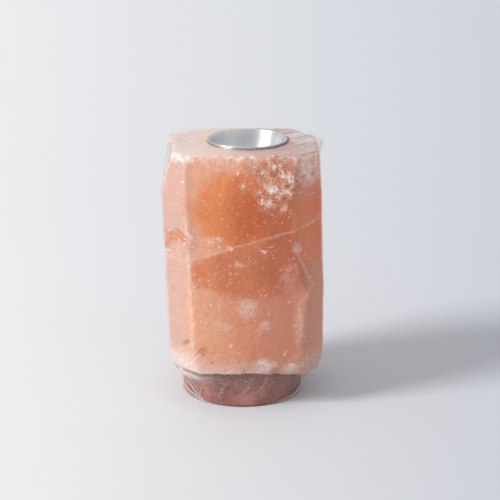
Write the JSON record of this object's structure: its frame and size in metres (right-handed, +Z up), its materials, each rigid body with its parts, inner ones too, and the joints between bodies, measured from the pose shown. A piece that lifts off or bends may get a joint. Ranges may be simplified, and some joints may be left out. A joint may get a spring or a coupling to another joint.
{
  "type": "salt lamp",
  "caption": "Hewn block of rock salt on a round wooden base, with a metal aroma dish in its top, a small bulb in a clipped holder inside and a clear shrunk film.",
  "frame": {"origin": "on the floor, under the centre of the wooden base", "axes": "+Z up, +X to the right and +Y to the back of the pictured side"},
  "size_m": [0.1193, 0.1025, 0.1942],
  "materials": {
    "salt": "rough crystalline, translucent",
    "wood": "satin varnish",
    "dish_metal": "spun, satin",
    "film": "clear, glossy",
    "rubber": "matte",
    "screw_steel": "zinc plated",
    "nylon": "matte",
    "moulding": "moulded",
    "brass": "bright",
    "spring_steel": "bright",
    "bulb_glass": "clear",
    "cap_metal": "bright",
    "cap_ceramic": "glossy",
    "filament_wire": "bright"
  },
  "bodies": {
    "lamp": {"salt_block": "salt", "wooden_base": "wood", "shrink_film": "film", "rubber_foot_1": "rubber", "rubber_foot_2": "rubber", "rubber_foot_3": "rubber", "rubber_foot_4": "rubber", "base_screws": "screw_steel", "wall_plugs": "nylon"},
    "dish": {"aroma_dish": "dish_metal"},
    "holder": {"holder_body": "moulding", "holder_end_cap": "moulding", "cap_screws": "screw_steel", "live_terminal": "brass", "neutral_terminal": "brass", "terminal_screws": "brass", "screw_shell": "brass", "contact_spring": "spring_steel", "spring_clip_1": "spring_steel", "spring_clip_2": "spring_steel", "spring_clip_3": "spring_steel", "clip_rivets": "spring_steel"},
    "contact": {"contact_pin": "brass"},
    "bulb": {"bulb_glass": "bulb_glass", "bulb_cap": "cap_metal", "cap_insulator": "cap_ceramic", "bulb_tip": "cap_metal", "glass_stem": "bulb_glass", "lead_wires": "filament_wire", "filament": "filament_wire", "filament_support": "filament_wire"}
  },
  "joints": [
    {"name": "dish_lift", "type": "slide", "parent": "lamp", "child": "dish", "axis": [0, 0, 1], "range_m": [0, 0.06]},
    {"name": "holder_withdraw", "type": "slide", "parent": "lamp", "child": "holder", "axis": [0, 0, -1], "range_m": [0, 0.1]},
    {"name": "contact_rise", "type": "slide", "parent": "holder", "child": "contact", "axis": [0, 0, 1], "range_m": [0, 0.002], "deforming": ["contact_spring"]},
    {"name": "bulb_turn", "type": "hinge", "parent": "contact", "child": "bulb", "pos_m": [0, 0, 0.05], "axis": [0, 0, 1], "range_deg": [0, 255]}
  ],
  "couplings": [
    {"joint": "contact_rise", "follows": "bulb_turn", "m_per_rad": 0.00044882}
  ]
}
